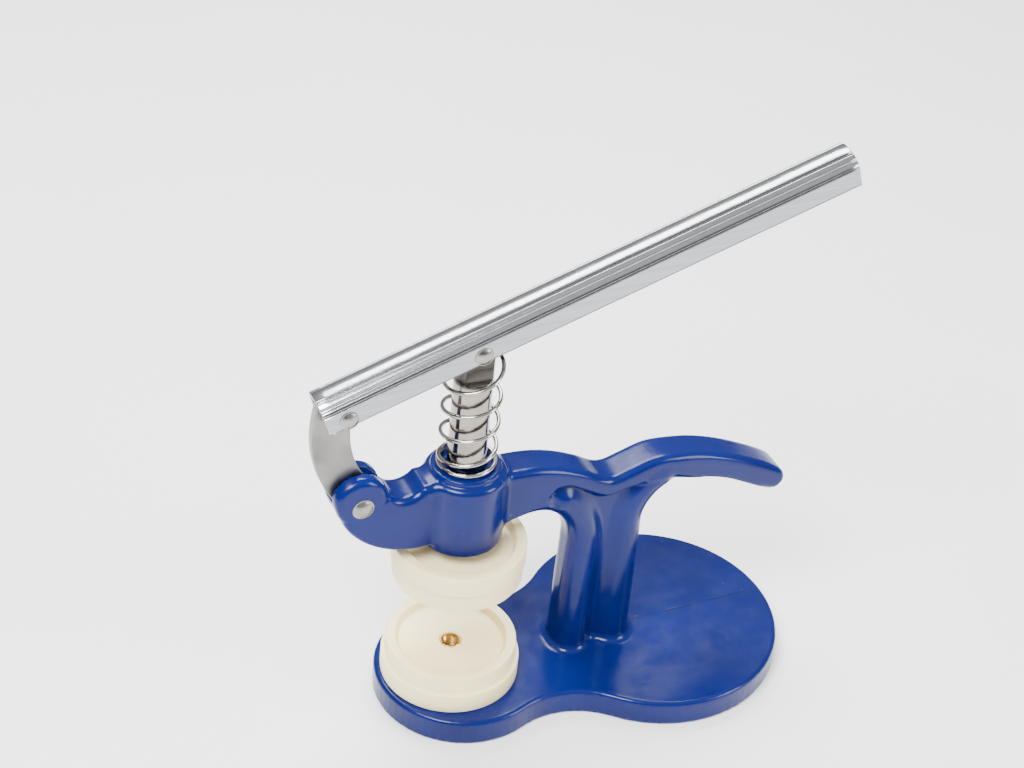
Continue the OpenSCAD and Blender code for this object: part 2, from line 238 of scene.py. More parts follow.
# ------------------------------------------------------------- solid by field
# The casting is one closed surface around a signed distance field, in
# millimetres: negative inside, with rounded edges and filleted joints.
def meet(a, b, r):
    """Intersection of two fields with its edge rounded to radius r."""
    u, v = np.maximum(a + r, 0), np.maximum(b + r, 0)
    return np.minimum(-r, np.maximum(a, b)) + np.sqrt(u * u + v * v)


def join(a, b, r):
    """Union of two fields with a fillet of radius r where they meet."""
    u, v = np.maximum(r - a, 0), np.maximum(r - b, 0)
    return np.maximum(r, np.minimum(a, b)) - np.sqrt(u * u + v * v)


def cut(a, b, r):
    """Field a with b taken out of it and the new edge rounded."""
    return meet(a, -b, r)


def part_way(value, start, span):
    """0 up to start, 1 from start + span on, and straight between."""
    return np.clip((value - start) / span, 0, 1)


def ease(t):
    """Slows a 0 to 1 rise down at both ends."""
    return t * t * (3 - 2 * t)


def disc(x, z, circle):
    """Signed distance to a circle (x, z, radius)."""
    cx, cz, r = circle
    return np.sqrt((x - cx) ** 2 + (z - cz) ** 2) - r


def smooth_line(points, steps):
    """Catmull-Rom curve through the points, with steps points on each span."""
    p = np.array(points, float)
    p = np.vstack([2 * p[0] - p[1], p, 2 * p[-1] - p[-2]])
    out = []
    for i in range(1, len(p) - 2):
        for t in np.arange(steps) / steps:
            a, b, c, d = p[i - 1], p[i], p[i + 1], p[i + 2]
            out.append(0.5 * (2 * b + (c - a) * t + (2 * a - 5 * b + 4 * c - d) * t * t
                              + (3 * b - a - 3 * c + d) * t ** 3))
    out.append(p[-2])
    return np.array(out)


def outline_field(x, z, loop):
    """Signed distance to a closed outline, negative inside it."""
    x, z = np.broadcast_arrays(x, z)
    best = np.full(x.shape, 1e9)
    inside = np.zeros(x.shape, bool)
    for p, q in zip(loop, np.roll(loop, -1, 0)):
        dx, dz = q - p
        t = np.clip(((x - p[0]) * dx + (z - p[1]) * dz) / (dx * dx + dz * dz + 1e-12), 0, 1)
        best = np.minimum(best, (x - p[0] - t * dx) ** 2 + (z - p[1] - t * dz) ** 2)
        crosses = (p[1] > z) != (q[1] > z)
        with np.errstate(divide="ignore", invalid="ignore"):
            at = p[0] + (z - p[1]) * dx / (dz if dz else 1e-12)
        inside ^= crosses & (x < at)
    d = np.sqrt(best)
    return np.where(inside, -d, d)


def arc_points(circle, a0, a1, steps):
    """Points on a circle (x, z, radius) from angle a0 to a1, in degrees."""
    cx, cz, r = circle
    a = np.radians(np.linspace(a0, a1, steps))
    return np.stack([cx + r * np.cos(a), cz + r * np.sin(a)], -1)


def base_loop():
    """Plan of the base: two round ends and a hollow on each side of the waist."""
    (x0, r0), (x1, r1) = BASE_NOSE, BASE_BIG
    span, a, b = x1 - x0, r0 + WAIST_R, r1 + WAIST_R
    wx = (span * span + a * a - b * b) / (2 * span)
    wy = sqrt(a * a - wx * wx)
    p, q = degrees(atan2(wy, wx)), degrees(atan2(wy, span - wx))
    return np.vstack([
        arc_points((x0, 0, r0), p, 360 - p, 40),
        arc_points((x0 + wx, -wy, WAIST_R), 180 - p - 4, q + 4, 12),
        arc_points((x1, 0, r1), q - 180, 180 - q, 64),
        arc_points((x0 + wx, wy, WAIST_R), -q - 4, p - 180 + 4, 12)])


BASE_LOOP = base_loop()
# upper edge of the arm and tail, from inside the barrel round the tail's tip
TOP_LINE = smooth_line([
    (0, 99.9), (16, 99.4), (26, 98.6), (35, 96.3), (44, 92.4), (51, 88.4), (56, 87.3), (62, 89.0),
    (72, 91.8), (82.5, 91.2), (92, 89.4), (103, 85.6), (114, 80.4), (122.3, 75.8), (126.4, 72.4),
    (127.1, 69.0), (124.9, 66.1), (121.5, 64.2), (118, 62.6)], 10)
# lower edge: under the tail, over the recess, then the arch up to the barrel
TAIL_LINE = smooth_line([
    (125.2, 63.2), (121.2, 65.5), (117.4, 67.8), (111, 71.3), (102, 75.9), (92.5, 78.9), (86, 79.4),
    (80, 79.9), (75.4, 81.0), (72, 82.0), (67, 82.6), (60, 81.6), (54, 80.2), (49.5, 81.6),
    (43, 85.4), (37.5, 88.3), (33, 88.6), (31.5, 86.4), (33.2, 84.0)], 8)
ARCH_LINE = arc_points(ARCH, 46, 150, 30)
TOP_LOOP = np.vstack([TOP_LINE, [(112, 50), (0, 50)]])
LOW_LOOP = np.vstack([[(0, 140), (160, 140), (160, 40)], TAIL_LINE, ARCH_LINE, [(0, 72)]])
# the thin web between the ribs, up into the recess under the arm
WEB_LOOP = np.array([(FRONT_RIB_X, 6), (REAR_RIB_X, 6), (REAR_RIB_X, 66), (67, 74), (74, 84),
                     (60, 84.5), (52, 84), (44, 88), (36, 91), (29, 91), (28, 86), (36, 82),
                     (43, 74), (FRONT_RIB_X, 62)])


def rib_field(x, y, z, bend, way, hold, reach):
    """A round-nosed bar, upright and then bent over, that sinks away from hold to reach."""
    cx, cz, r = bend
    out = way * (x - cx)
    across = np.where(z > cz, np.sqrt(out ** 2 + (z - cz) ** 2) - r, out - r)
    angle = np.where(z > cz, np.arctan2(z - cz, out), 0)
    swell = RIB_SWELL * np.clip((cz - z) / (cz - BASE_H), 0, 1)
    sink = RIB_SINK * ease(np.clip((angle - hold) / (reach - hold), 0, 1))
    core = np.maximum(np.abs(y) - (RIB_HALF - RIB_R), 0)
    bar = np.sqrt(across ** 2 + core ** 2) - RIB_R + sink - swell
    return np.maximum(np.maximum(bar, r * (angle - reach)), 4 - z)


def nose_field(x, z, thick):
    """The nose that carries the link pin, with a saddle behind its head."""
    block = np.maximum(z - NOSE_TOP, HEAD[0] - 7 - x)
    top = cut(np.minimum(disc(x, z, HEAD), block), disc(x, z, SADDLE), 1.0)
    body = meet(meet(top, thick, ARM_EDGE_R), disc(x, z, BELLY), 1.2)
    return np.maximum(body, x)


def arm_field(x, z, thick):
    """The waved arm and tail: a plate between an upper and a lower edge line."""
    # the arch's edge turns from nearly square into the front rib's round nose
    turn = part_way(x, 19, 16) * np.clip((9 - disc(x, z, ARCH)) / 4, 0, 1) * (x < 60)
    heel = np.clip((90 - x) / 12, 0, 1) * np.clip((9 - disc(x, z, HEEL) - RIB_R) / 4, 0, 1)
    turn = np.maximum(turn, heel * (x > 70) * (z < 84))
    # under the front rib's bend the plate thins, so the rib's nose alone shows
    bend = np.clip((radians(62) - np.arctan2(z - ARCH[1], x - ARCH[0])) / radians(16), 0, 1)
    thin = 3 * bend ** 2 * np.clip((12.5 - disc(x, z, ARCH)) / 3, 0, 1) * ((x > 30) & (z < 88))
    # the tail's tip is rounder underneath
    tip = 2 * part_way(x, 116, 6)
    top = meet(outline_field(x, z, TOP_LOOP), thick + thin, ARM_EDGE_R)
    return meet(top, outline_field(x, z, LOW_LOOP), 1.3 + 4.7 * turn + tip)


def barrel_field(z, rho):
    """The ram's barrel, with the raised ring on which the spring sits."""
    barrel = meet(meet(rho - BARREL_R, z - BARREL_HI, BARREL_EDGE_R), BARREL_LO - z, 0.9)
    ring = np.maximum(meet(rho - SEAT_R, z - SEAT_Z, 0.8), BARREL_LO + 5 - z)
    return join(barrel, ring, 0.8)


def slot_field(x, y, z):
    """The gap in the nose in which the link swings."""
    pin_x, pin_z = LINK_PIN[0], LINK_PIN[2]
    block = np.maximum(pin_z + SLOT_FLOOR - z, x - SLOT_FLAT_END)
    slot = np.minimum(disc(x, z, (pin_x, pin_z, SLOT_R)), block)
    return np.maximum(np.maximum(slot, np.abs(y) - SLOT_HALF), x - SLOT_ROUND_END)


def casting_field(x, y, z):
    """The whole frame: base, ribs, web, arm, nose and barrel, less the bore and the slot."""
    base = meet(meet(outline_field(x, y, BASE_LOOP), z - BASE_H, BASE_EDGE_R), -z, BASE_FOOT_R)
    front_bend = ARCH[:2] + (ARCH[2] + RIB_R,)
    front = rib_field(x, y, z, front_bend, 1, radians(52), radians(84))
    rear = rib_field(x, y, z, HEEL, -1, radians(62), radians(90))
    web = np.maximum(outline_field(x, z, WEB_LOOP), np.abs(y) - WEB_HALF)
    thick = np.abs(y) - ARM_HALF
    rho = np.sqrt(x * x + y * y)
    upper = join(arm_field(x, z, thick), front, FRONT_RIB_FILLET)
    upper = join(join(upper, rear, REAR_RIB_FILLET), web, WEB_FILLET)
    upper = join(upper, nose_field(x, z, thick), NOSE_FILLET)
    upper = join(upper, barrel_field(z, rho), BARREL_FILLET)
    solid = join(upper, base, BASE_FILLET)
    solid = cut(solid, np.maximum(rho - BORE_R, BORE_FROM - z), 0.4)
    return cut(solid, slot_field(x, y, z), 0.4)


def field_mesh(field, low, high, cell):
    """Closed quad mesh on the field's zero surface, with its outward normals."""
    axes = [np.arange(a - 1.5 * cell, b + 2.5 * cell, cell) for a, b in zip(low, high)]
    x, y, z = np.meshgrid(*axes, indexing="ij", sparse=True)
    d = np.broadcast_to(field(x, y, z), [len(a) for a in axes])
    inside = d < 0
    cells = [len(a) - 1 for a in axes]
    total = np.zeros(cells + [3])
    count = np.zeros(cells)
    quads = []
    for ax in range(3):
        others = [k for k in range(3) if k != ax]
        lo = np.take(d, range(cells[ax]), ax)
        hi = np.take(d, range(1, cells[ax] + 1), ax)
        hit = np.argwhere((lo < 0) != (hi < 0))
        hit = hit[np.all((hit[:, others] > 0) & (hit[:, others] < np.array(cells)[others]), 1)]
        a, b = lo[tuple(hit.T)], hi[tuple(hit.T)]
        point = hit.astype(float)
        point[:, ax] += a / (a - b)
        ring = []
        for s, t in ((0, 0), (1, 0), (1, 1), (0, 1)):
            at = hit.copy()
            at[:, others[0]] -= s
            at[:, others[1]] -= t
            np.add.at(total, tuple(at.T), point)
            np.add.at(count, tuple(at.T), 1)
            ring.append(np.ravel_multi_index(at.T, cells))
        ring = np.stack(ring, -1)
        flip = (a < 0) if ax != 1 else (a > 0)
        ring[flip] = ring[flip][:, ::-1]
        quads.append(ring)
    quads = np.vstack(quads)
    used = np.unique(quads)
    where = np.unravel_index(used, cells)
    points = total[where] / count[where][:, None]
    points = points * cell + np.array([a[0] for a in axes])
    quads = np.searchsorted(used, quads)[:, ::-1]
    for _ in range(3):
        points = relax(settle(field, points), quads)
    points = settle(field, points, 2)
    return points, quads, slope(field, points)


def slope(field, points, h=0.05):
    """Outward unit normal of the field at each point."""
    g = np.stack([field(*(points + h * e).T) - field(*(points - h * e).T)
                  for e in np.eye(3)], -1)
    return g / np.maximum(np.linalg.norm(g, axis=1), 1e-9)[:, None]


def settle(field, points, steps=1, most=0.5):
    """Moves points onto the zero surface."""
    for _ in range(steps):
        d = np.clip(field(*points.T), -most, most)
        points = points - slope(field, points) * d[:, None]
    return points


def relax(points, quads, share=0.5):
    """Evens out the spacing of the points along the surface."""
    total = np.zeros_like(points)
    count = np.zeros(len(points))
    for k in range(4):
        here, there = quads[:, k], quads[:, (k + 1) % 4]
        np.add.at(total, here, points[there])
        np.add.at(count, here, 1)
        np.add.at(total, there, points[here])
        np.add.at(count, there, 1)
    return points * (1 - share) + share * total / count[:, None]


# ----------------------------------------------------------------- materials
WHITE = (1, 1, 1, 1)


class Paint:
    """Short way to build one procedural material."""

    def __init__(self, name, **sockets):
        self.made = bpy.data.materials.new(name)
        self.made.use_nodes = True
        self.tree = self.made.node_tree
        self.shader = self.tree.nodes["Principled BSDF"]
        for key, value in sockets.items():
            self.shader.inputs[key.replace("_", " ")].default_value = value
        self.place = self.node("ShaderNodeTexCoord").outputs["Object"]

    def node(self, kind, **inputs):
        made = self.tree.nodes.new(kind)
        for key, value in inputs.items():
            self.put(made.inputs[int(key[1:]) if key[0] == "i" and key[1:].isdigit()
                                 else key.replace("_", " ")], value)
        return made

    def put(self, socket, value):
        if isinstance(value, bpy.types.NodeSocket):
            self.tree.links.new(value, socket)
        else:
            socket.default_value = value

    def turned(self, tilt, scale):
        """Coordinates turned about Y and stretched."""
        turn = self.node("ShaderNodeMapping", Vector=self.place, Rotation=(0, tilt, 0),
                         Scale=scale)
        return turn.outputs["Vector"]

    def noise(self, scale, detail=3.0, rough=0.5, vector=None):
        made = self.node("ShaderNodeTexNoise", Vector=vector or self.place, Scale=scale,
                         Detail=detail, Roughness=rough)
        return made.outputs["Fac"]

    def math(self, how, a, b=0.0, c=0.0):
        made = self.tree.nodes.new("ShaderNodeMath")
        made.operation = how
        for socket, value in zip(made.inputs, (a, b, c)):
            self.put(socket, value)
        return made.outputs[0]

    def both(self, a, b):
        return self.math("MULTIPLY", a, b)

    def within(self, value, low, high):
        """1 where a coordinate lies between two values in millimetres, else 0."""
        return self.both(self.math("GREATER_THAN", value, low * MM),
                         self.math("LESS_THAN", value, high * MM))

    def ramp(self, value, low, high, to_low=0, to_high=1):
        made = self.node("ShaderNodeMapRange", i0=value, i1=low, i2=high, i3=to_low, i4=to_high)
        return made.outputs["Result"]

    def mix(self, share, a, b):
        made = self.tree.nodes.new("ShaderNodeMix")
        made.data_type = "RGBA"
        self.put(made.inputs[0], share)
        self.put(made.inputs[6], a)
        self.put(made.inputs[7], b)
        return made.outputs[2]

    def axes(self):
        return self.node("ShaderNodeSeparateXYZ", Vector=self.place).outputs

    def bump(self, height, depth, strength=1.0, under=None):
        made = self.node("ShaderNodeBump", Height=height, Distance=depth, Strength=strength)
        if under is not None:
            self.put(made.inputs["Normal"], under)
        return made.outputs["Normal"]

    def colour(self, value):
        self.put(self.shader.inputs["Base Color"], value)

    def rough(self, value):
        self.put(self.shader.inputs["Roughness"], value)

    def normal(self, value):
        self.put(self.shader.inputs["Normal"], value)


def rgb(r, g, b):
    """Shader colour from 0-255 display values."""
    return tuple((v / 255 / 12.92) if v <= 10 else ((v / 255 + 0.055) / 1.055) ** 2.4
                 for v in (r, g, b)) + (1.0,)


def enamel_paint():
    """Glossy blue enamel that pools a little, with orange peel and pale specks, and the
    mould's parting line along the top of the base behind the column."""
    p = Paint("blue_enamel", Specular_IOR_Level=0.22)
    x, y, z = p.axes()
    pool = p.noise(38, 3)
    base = p.mix(p.ramp(pool, 0.35, 0.7), rgb(3, 17, 78), rgb(5, 22, 90))
    line = p.ramp(p.math("ABSOLUTE", y), 0.1 * MM, 0.4 * MM, 1, 0)
    line = p.both(p.both(line, p.within(x, 72.5, 124)), p.within(z, BASE_H - 0.5, BASE_H + 0.5))
    line = p.both(line, p.ramp(p.noise(90, 2), 0.35, 0.6, 0.25, 0.9))
    base = p.mix(p.both(line, 0.9), base, rgb(2, 7, 34))
    speck = p.ramp(p.noise(420, 1, 0.3), 0.79, 0.81, 0, 0.6)
    p.colour(p.mix(speck, base, rgb(44, 62, 122)))
    p.rough(p.ramp(p.noise(160, 4), 0.3, 0.7, 0.14, 0.24))
    peel = p.bump(p.noise(330, 2), 0.00006, 0.35)
    flow = p.bump(p.noise(34, 2), 0.0006, 0.25, peel)
    p.normal(p.bump(p.both(line, -1.0), 0.0001, 0.2, flow))
    return p.made


def lever_paint():
    """Bright aluminium with streaks drawn along the lever and faint smears."""
    p = Paint("bright_aluminium", Metallic=1.0)
    along = p.turned(LEVER_TILT, (6, 900, 900))
    streak = p.noise(1.0, 4, 0.6, along)
    smear = p.noise(45, 3)
    tone = p.both(p.ramp(streak, 0.3, 0.7), 0.55)
    p.colour(p.mix(tone, rgb(164, 165, 168), rgb(128, 130, 134)))
    gloss = p.ramp(streak, 0.25, 0.75, 0.11, 0.24)
    p.rough(p.math("ADD", gloss, p.ramp(smear, 0.5, 0.8, 0, 0.08)))
    p.normal(p.bump(streak, 0.00004, 0.5, p.bump(p.noise(1500, 1), 0.00002, 0.3)))
    return p.made


def metal_paint(name, light, dark, rough_low, rough_high, grain, depth):
    """Metal with mottled tone, uneven gloss and a fine grain."""
    p = Paint(name, Metallic=1.0)
    p.colour(p.mix(p.ramp(p.noise(70, 4), 0.35, 0.72), light, dark))
    p.rough(p.ramp(p.noise(grain * 0.5, 4, 0.6), 0.3, 0.7, rough_low, rough_high))
    p.normal(p.bump(p.noise(grain, 3, 0.6), depth, 0.5))
    return p.made


def ram_paint():
    """Bright plate on the round bar; on the tongue's milled flats a darker colour painted in as the
    dark reflection they show, and a rougher finish.
    """
    p = Paint("nickel_plate", Metallic=1.0)
    place = p.turned(0, (1, 1, 9))
    y, z = p.axes()[1:3]
    shoulder = RAM_PIN[2] - TONGUE_H
    # painted reflection: the tongue's milled flats are coloured dark (70, 67, 63) to stand in for
    # the dark surroundings they reflect, and are also made rougher
    tongue_painted_dark = p.both(p.ramp(p.math("ABSOLUTE", y), 5.2 * MM, 6.2 * MM, 1, 0),
                  p.ramp(z, (shoulder - 1) * MM, shoulder * MM))
    plate = p.mix(p.ramp(p.noise(70, 4), 0.35, 0.72), rgb(150, 145, 138), rgb(120, 115, 108))
    p.colour(p.mix(tongue_painted_dark, plate, rgb(70, 67, 63)))
    gloss = p.ramp(p.noise(150, 4, 0.6, place), 0.3, 0.7, 0.08, 0.2)
    p.rough(p.math("ADD", gloss, p.both(tongue_painted_dark, 0.16)))
    p.normal(p.bump(p.noise(300, 3, 0.6, place), 0.00003, 0.5))
    return p.made


def nylon_paint():
    """Ivory nylon, slightly translucent and clouded, with turning rings 0.4 mm apart."""
    p = Paint("ivory_nylon", Subsurface_Weight=0.3, Subsurface_Scale=0.004,
              Subsurface_Radius=(1.0, 0.75, 0.42), Specular_IOR_Level=0.45)
    x, y = p.axes()[0:2]
    r = p.math("SQRT", p.math("ADD", p.math("POWER", x, 2), p.math("POWER", y, 2)))
    cloud = p.noise(60, 4)
    p.colour(p.mix(p.ramp(cloud, 0.3, 0.75), rgb(252, 237, 190), rgb(246, 227, 172)))
    p.rough(p.ramp(p.noise(240, 3), 0.3, 0.7, 0.3, 0.46))
    rings = p.bump(p.math("SINE", p.both(r, 16000)), 0.00001, 0.35)
    p.normal(p.bump(p.noise(150, 3), 0.0001, 0.25, rings))
    return p.made


def floor_paint():
    """Pale matt floor with a hint of unevenness."""
    p = Paint("pale_floor", Specular_IOR_Level=0.2)
    p.colour(p.mix(p.ramp(p.noise(6, 3), 0.3, 0.7), (0.93, 0.93, 0.935, 1),
                   (0.90, 0.90, 0.905, 1)))
    p.rough(p.ramp(p.noise(90, 3), 0.3, 0.7, 0.55, 0.7))
    p.normal(p.bump(p.noise(700, 2), 0.00005, 0.2))
    return p.made


ENAMEL = enamel_paint()
LEVER_METAL = lever_paint()
NYLON = nylon_paint()
LINK_STEEL = metal_paint("satin_steel", rgb(138, 137, 134), rgb(110, 109, 106), 0.3, 0.42,
                         1800, 0.00004)
RIVET_STEEL = metal_paint("rivet_steel", rgb(158, 157, 154), rgb(112, 110, 107), 0.2, 0.36,
                          900, 0.00006)
RAM_PLATE = ram_paint()
SPRING_WIRE = metal_paint("spring_wire", rgb(176, 172, 166), rgb(128, 124, 118), 0.1, 0.22,
                          800, 0.00004)
BRASS = metal_paint("brass", rgb(214, 172, 96), rgb(176, 132, 62), 0.16, 0.3, 900, 0.00003)
STUD_STEEL = metal_paint("stud_steel", rgb(72, 68, 62), rgb(44, 41, 38), 0.3, 0.45,
                         900, 0.00004)


# -------------------------------------------------------------------- pieces
def carry(obj, body, slot, *nodes):
    """obj rides on the body and stands for the nodes, which it hides; slot is not used."""
    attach(obj, body)
    if nodes:
        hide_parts(*nodes)
    return obj


def field_piece(name, field, cell, material, body, slot, node):
    """Piece meshed from a field in cells of the given size, inside its CAD node's box."""
    low, high = box_mm(node)
    points, quads, normals = field_mesh(field, low, high, cell)
    obj = mesh_piece(name, np.clip(points, low, high), quads.tolist(), material)
    obj.data.normals_split_custom_set_from_vertices(normals.tolist())
    return carry(obj, body, slot, node)


field_piece("casting", casting_field, 0.85, ENAMEL, "stand",
            "blue_enamel", "frame")


def make_die(name, node, rim_r, flip, body):
    """Turned nylon die: a wide band, a narrower rim and a recess in each face."""
    low, high = box_mm(node)
    band_r, height = high[0], high[2] - low[2]
    deep = RECESS_DEPTH
    edge = [(DIE_HOLE_R, deep), (RECESS_FLOOR_R, deep), (RECESS_R, 0.0), (band_r, 0.0),
            (band_r, BAND_H), (rim_r, BAND_H), (rim_r, height), (RECESS_R, height),
            (RECESS_FLOOR_R, height - deep), (DIE_HOLE_R, height - deep), (DIE_HOLE_R, deep)]
    radii = [0, 0.8, 0.5, 0.6, 0.5, 0.25, 0.6, 0.5, 0.8, 0, 0]
    profile = round_corners(edge, radii)
    if flip:
        profile = profile * (1, -1) + (0, height)
        profile = profile[::-1]
    profile = profile + (0, low[2])
    obj = sharpen(lathe(name, profile, NYLON, 144), 50)
    return carry(obj, body, "nylon", node)


make_die("lower_die_turned", "lower_die", 23.5, False, "lower_die_set")
make_die("upper_die_turned", "upper_die", 23.0, True, "upper_die_set")


def threaded(name, node, r_out, r_in, depth, material, body, slot):
    """Sleeve with a thread in its hole, or where r_in is 0 a stud with one outside."""
    low, high = box_mm(node)
    sides, rows = 64, int((high[2] - low[2]) / THREAD_PITCH * 8)
    t = np.linspace(0, 2 * pi, sides, endpoint=False)
    z = np.linspace(low[2] + 0.35, high[2] - 0.35, rows)
    phase = (z[:, None] / THREAD_PITCH - t[None] / (2 * pi)) % 1.0
    wave = 1 - np.abs(2 * phase - 1)
    fade = np.clip(np.minimum(z - low[2], high[2] - z) / THREAD_PITCH, 0, 1)[:, None]
    work = (r_in + depth * wave * fade) if r_in else (r_out - depth * wave * fade)
    sheet = [np.stack([work * np.cos(t), work * np.sin(t), np.repeat(z[:, None], sides, 1)], -1)]
    if r_in:
        loops = [(r_in + 0.35, high[2]), (r_out - 0.2, high[2]), (r_out, high[2] - 0.2),
                 (r_out, low[2] + 0.2), (r_out - 0.2, low[2]), (r_in + 0.35, low[2])]
    else:
        loops = [(r_out - 0.7, high[2]), (0.4, high[2]), (0.4, low[2]), (r_out - 0.5, low[2])]
    for r, height in loops:
        sheet.append(np.stack([r * np.cos(t), r * np.sin(t), np.full(sides, height)], -1)[None])
    points = np.concatenate(sheet)
    faces = grid_faces(len(points), sides, wrap_rows=True)
    obj = mesh_piece(name, points.reshape(-1, 3), faces, material)
    return carry(sharpen(obj, 45), body, slot, node)


for side in ("lower", "upper"):
    threaded(side + "_bush", side + "_insert", BUSH_R, BUSH_HOLE_R, 0.45, BRASS,
             side + "_die_set", "brass")
for side, holder in (("lower", "stand"), ("upper", "plunger")):
    threaded(side + "_screw", side + "_stud", STUD_R, 0, 0.4, STUD_STEEL, holder, "stud_steel")


# ------------------------------------------------------------------- linkage
def on_lever(u, y, w):
    """Point at u along the lever from the ram pin, w above the pin line."""
    t = LEVER_TILT
    return RAM_PIN + np.array([u * cos(t) - w * sin(t), y, u * sin(t) + w * cos(t)])


def flute_depth(angle):
    """How far the grip flutes cut into the rounded top at an angle from its edge."""
    b = np.minimum(angle, 180 - angle)
    total = np.zeros_like(b)
    for middle, half in FLUTES:
        away = np.clip(np.abs(b - middle) / half, 0, 1)
        total = np.maximum(total, 0.5 + 0.5 * np.cos(away * pi))
    return FLUTE_DEPTH * total


def lever_section(inset):
    """Outer and inner outlines of the channel, drawn in by inset at its ends."""
    hw, top = LEVER_W / 2, LEVER_SIDE - LEVER_DROP
    ih, foot = hw - LEVER_WALL, -LEVER_DROP
    angle = np.linspace(0, 180, 181)
    a = np.radians(angle)
    ex, ez = hw * np.cos(a), LEVER_CROWN * np.sin(a)
    keep = 1 - (flute_depth(angle) + inset) / np.hypot(ex, ez)
    side = np.linspace(foot + LIP_R, top - 0.3, 5)
    lip = np.radians([90, 60, 30])
    lip_x, lip_z = hw - LIP_R + LIP_R * np.cos(pi / 2 - lip), foot + LIP_R - LIP_R * np.sin(lip)
    leg = np.stack([np.concatenate([lip_x, np.full(5, hw)]),
                    np.concatenate([lip_z, side])], -1) - (inset, 0)
    crown = np.stack([ex * keep, ez * keep + top], -1)
    outer = np.vstack([leg, crown, (leg * (-1, 1))[::-1]])
    ix, iz = ih * np.cos(a), (LEVER_CROWN - LEVER_WALL) * np.sin(a)
    inner_leg = np.stack([np.full(8, ih), np.linspace(foot, top - 0.3, 8)], -1) + (inset, 0)
    grow = 1 + inset / np.hypot(ix, iz)
    inner_crown = np.stack([ix * grow, iz * grow + top], -1)
    inner = np.vstack([inner_leg, inner_crown, (inner_leg * (-1, 1))[::-1]])
    return outer, inner


def make_lever():
    """Fluted channel swept along the lever, with its end edges eased."""
    rows = [(-LEVER_FRONT, 0.3), (-LEVER_FRONT + 0.1, 0.1), (-LEVER_FRONT + 0.3, 0)]
    rows += [(u, 0) for u in np.linspace(-LEVER_FRONT + 4, LEVER_REAR - 4, 40)]
    rows += [(LEVER_REAR - 0.3, 0), (LEVER_REAR - 0.1, 0.1), (LEVER_REAR, 0.3)]
    points, n = [], 0
    for u, inset in rows:
        outer, inner = lever_section(inset)
        n = len(outer)
        points += [on_lever(u, y, w) for y, w in np.vstack([outer, inner[::-1]])]
    cols = 2 * n
    faces = grid_faces(len(rows), cols)
    for row, way in ((0, 1), (len(rows) - 1, -1)):
        at = row * cols
        for k in range(n - 1):
            quad = (at + k, at + cols - 1 - k, at + cols - 2 - k, at + k + 1)
            faces.append(quad[::way])
    obj = mesh_piece("fluted_lever", points, faces, LEVER_METAL)
    return carry(sharpen(obj, 40), "lever_arm", "lever_metal", "lever")


make_lever()


def heading(v):
    """Direction of a vector in x and z, in degrees from +X towards +Z."""
    return degrees(atan2(v[1], v[0]))


def outline_plate(name, loops, half, bevel, material):
    """Upright flat plate with rounded rims, cut from closed outlines in x and z."""
    curve = bpy.data.curves.new(name, "CURVE")
    curve.dimensions = "2D"
    curve.fill_mode = "BOTH"
    curve.extrude = (half - bevel) * MM
    curve.bevel_depth = bevel * MM
    curve.bevel_resolution = 3
    curve.offset = -bevel * MM
    for loop in loops:
        spline = curve.splines.new("POLY")
        spline.points.add(len(loop) - 1)
        spline.use_cyclic_u = True
        for point, (x, z) in zip(spline.points, loop):
            point.co = (x * MM, z * MM, 0, 1)
    shape = link_object(name + "_outline", curve)
    bpy.context.view_layer.update()
    mesh = bpy.data.meshes.new_from_object(
        shape.evaluated_get(bpy.context.evaluated_depsgraph_get()))
    bpy.data.objects.remove(shape)
    mesh.transform(Matrix.Rotation(pi / 2, 4, "X"))
    mesh.name = name
    mesh.materials.clear()
    mesh.materials.append(material)
    mesh.polygons.foreach_set("use_smooth", [True] * len(mesh.polygons))
    return sharpen(link_object(name, mesh), 35)


def make_link():
    """Bowed plate from the nose's pin up into the lever's front end."""
    x, z, r_out = LINK_BOW
    centre = np.array([x, z])
    low, high = LINK_PIN[[0, 2]], END_PIN[[0, 2]] + (0, 0.5)
    a0, a1 = heading(low - centre) % 360, heading(high - centre) % 360
    outer = arc_points((x, z, r_out), a0, a1, 30)
    inner = arc_points((x, z, r_out - LINK_W), a1, a0, 24)
    ends = []
    for p, q in ((outer[-1], inner[0]), (inner[-1], outer[0])):
        mid = (p + q) / 2
        face = heading(p - mid)
        ends.append(arc_points((*mid, LINK_W / 2), face, face - 180, 18)[1:-1])
    loop = np.vstack([outer, ends[0], inner, ends[1]])
    hole = arc_points((*low, NOSE_PIN_HOLE_R), 0, 345, 24)
    obj = outline_plate("bowed_link", [loop, hole], LINK_T / 2, 0.35, LINK_STEEL)
    return carry(obj, "tie_link", "link_steel", "link")


make_link()


def make_rivet(name, node, centre, shank_r, grip, head, body):
    """Rivet lying across the press, with a low domed head on each side."""
    head_r, head_h = head
    dome = (head_r ** 2 + head_h ** 2) / (2 * head_h)
    spread = np.linspace(np.arcsin((head_r - 0.12) / dome), 0, 9)
    face = grip / 2 + 0.03
    cap = [(dome * sin(a), face + head_h - dome + dome * cos(a)) for a in spread]
    half = [(shank_r, 0.0), (shank_r, face), (head_r - 0.15, face), (head_r, face + 0.14)] + cap
    half[-1] = (0.0, face + head_h)
    profile = [(r, -z) for r, z in half[::-1]][:-1] + half
    place = Matrix.Translation(Vector(centre)) @ Matrix.Rotation(pi / 2, 4, "X")
    obj = sharpen(lathe(name, profile, RIVET_STEEL, 64, place), 60)
    return carry(obj, body, "rivet_steel", node)


make_rivet("nose_rivet", "link_pin", LINK_PIN, NOSE_PIN_R, NOSE_W, NOSE_PIN_HEAD, "stand")
make_rivet("front_rivet", "lever_end_pin", END_PIN, PIN_R, LEVER_W, PIN_HEAD, "lever_arm")
make_rivet("ram_rivet", "ram_pin", RAM_PIN, PIN_R, LEVER_W, PIN_HEAD, "lever_arm")


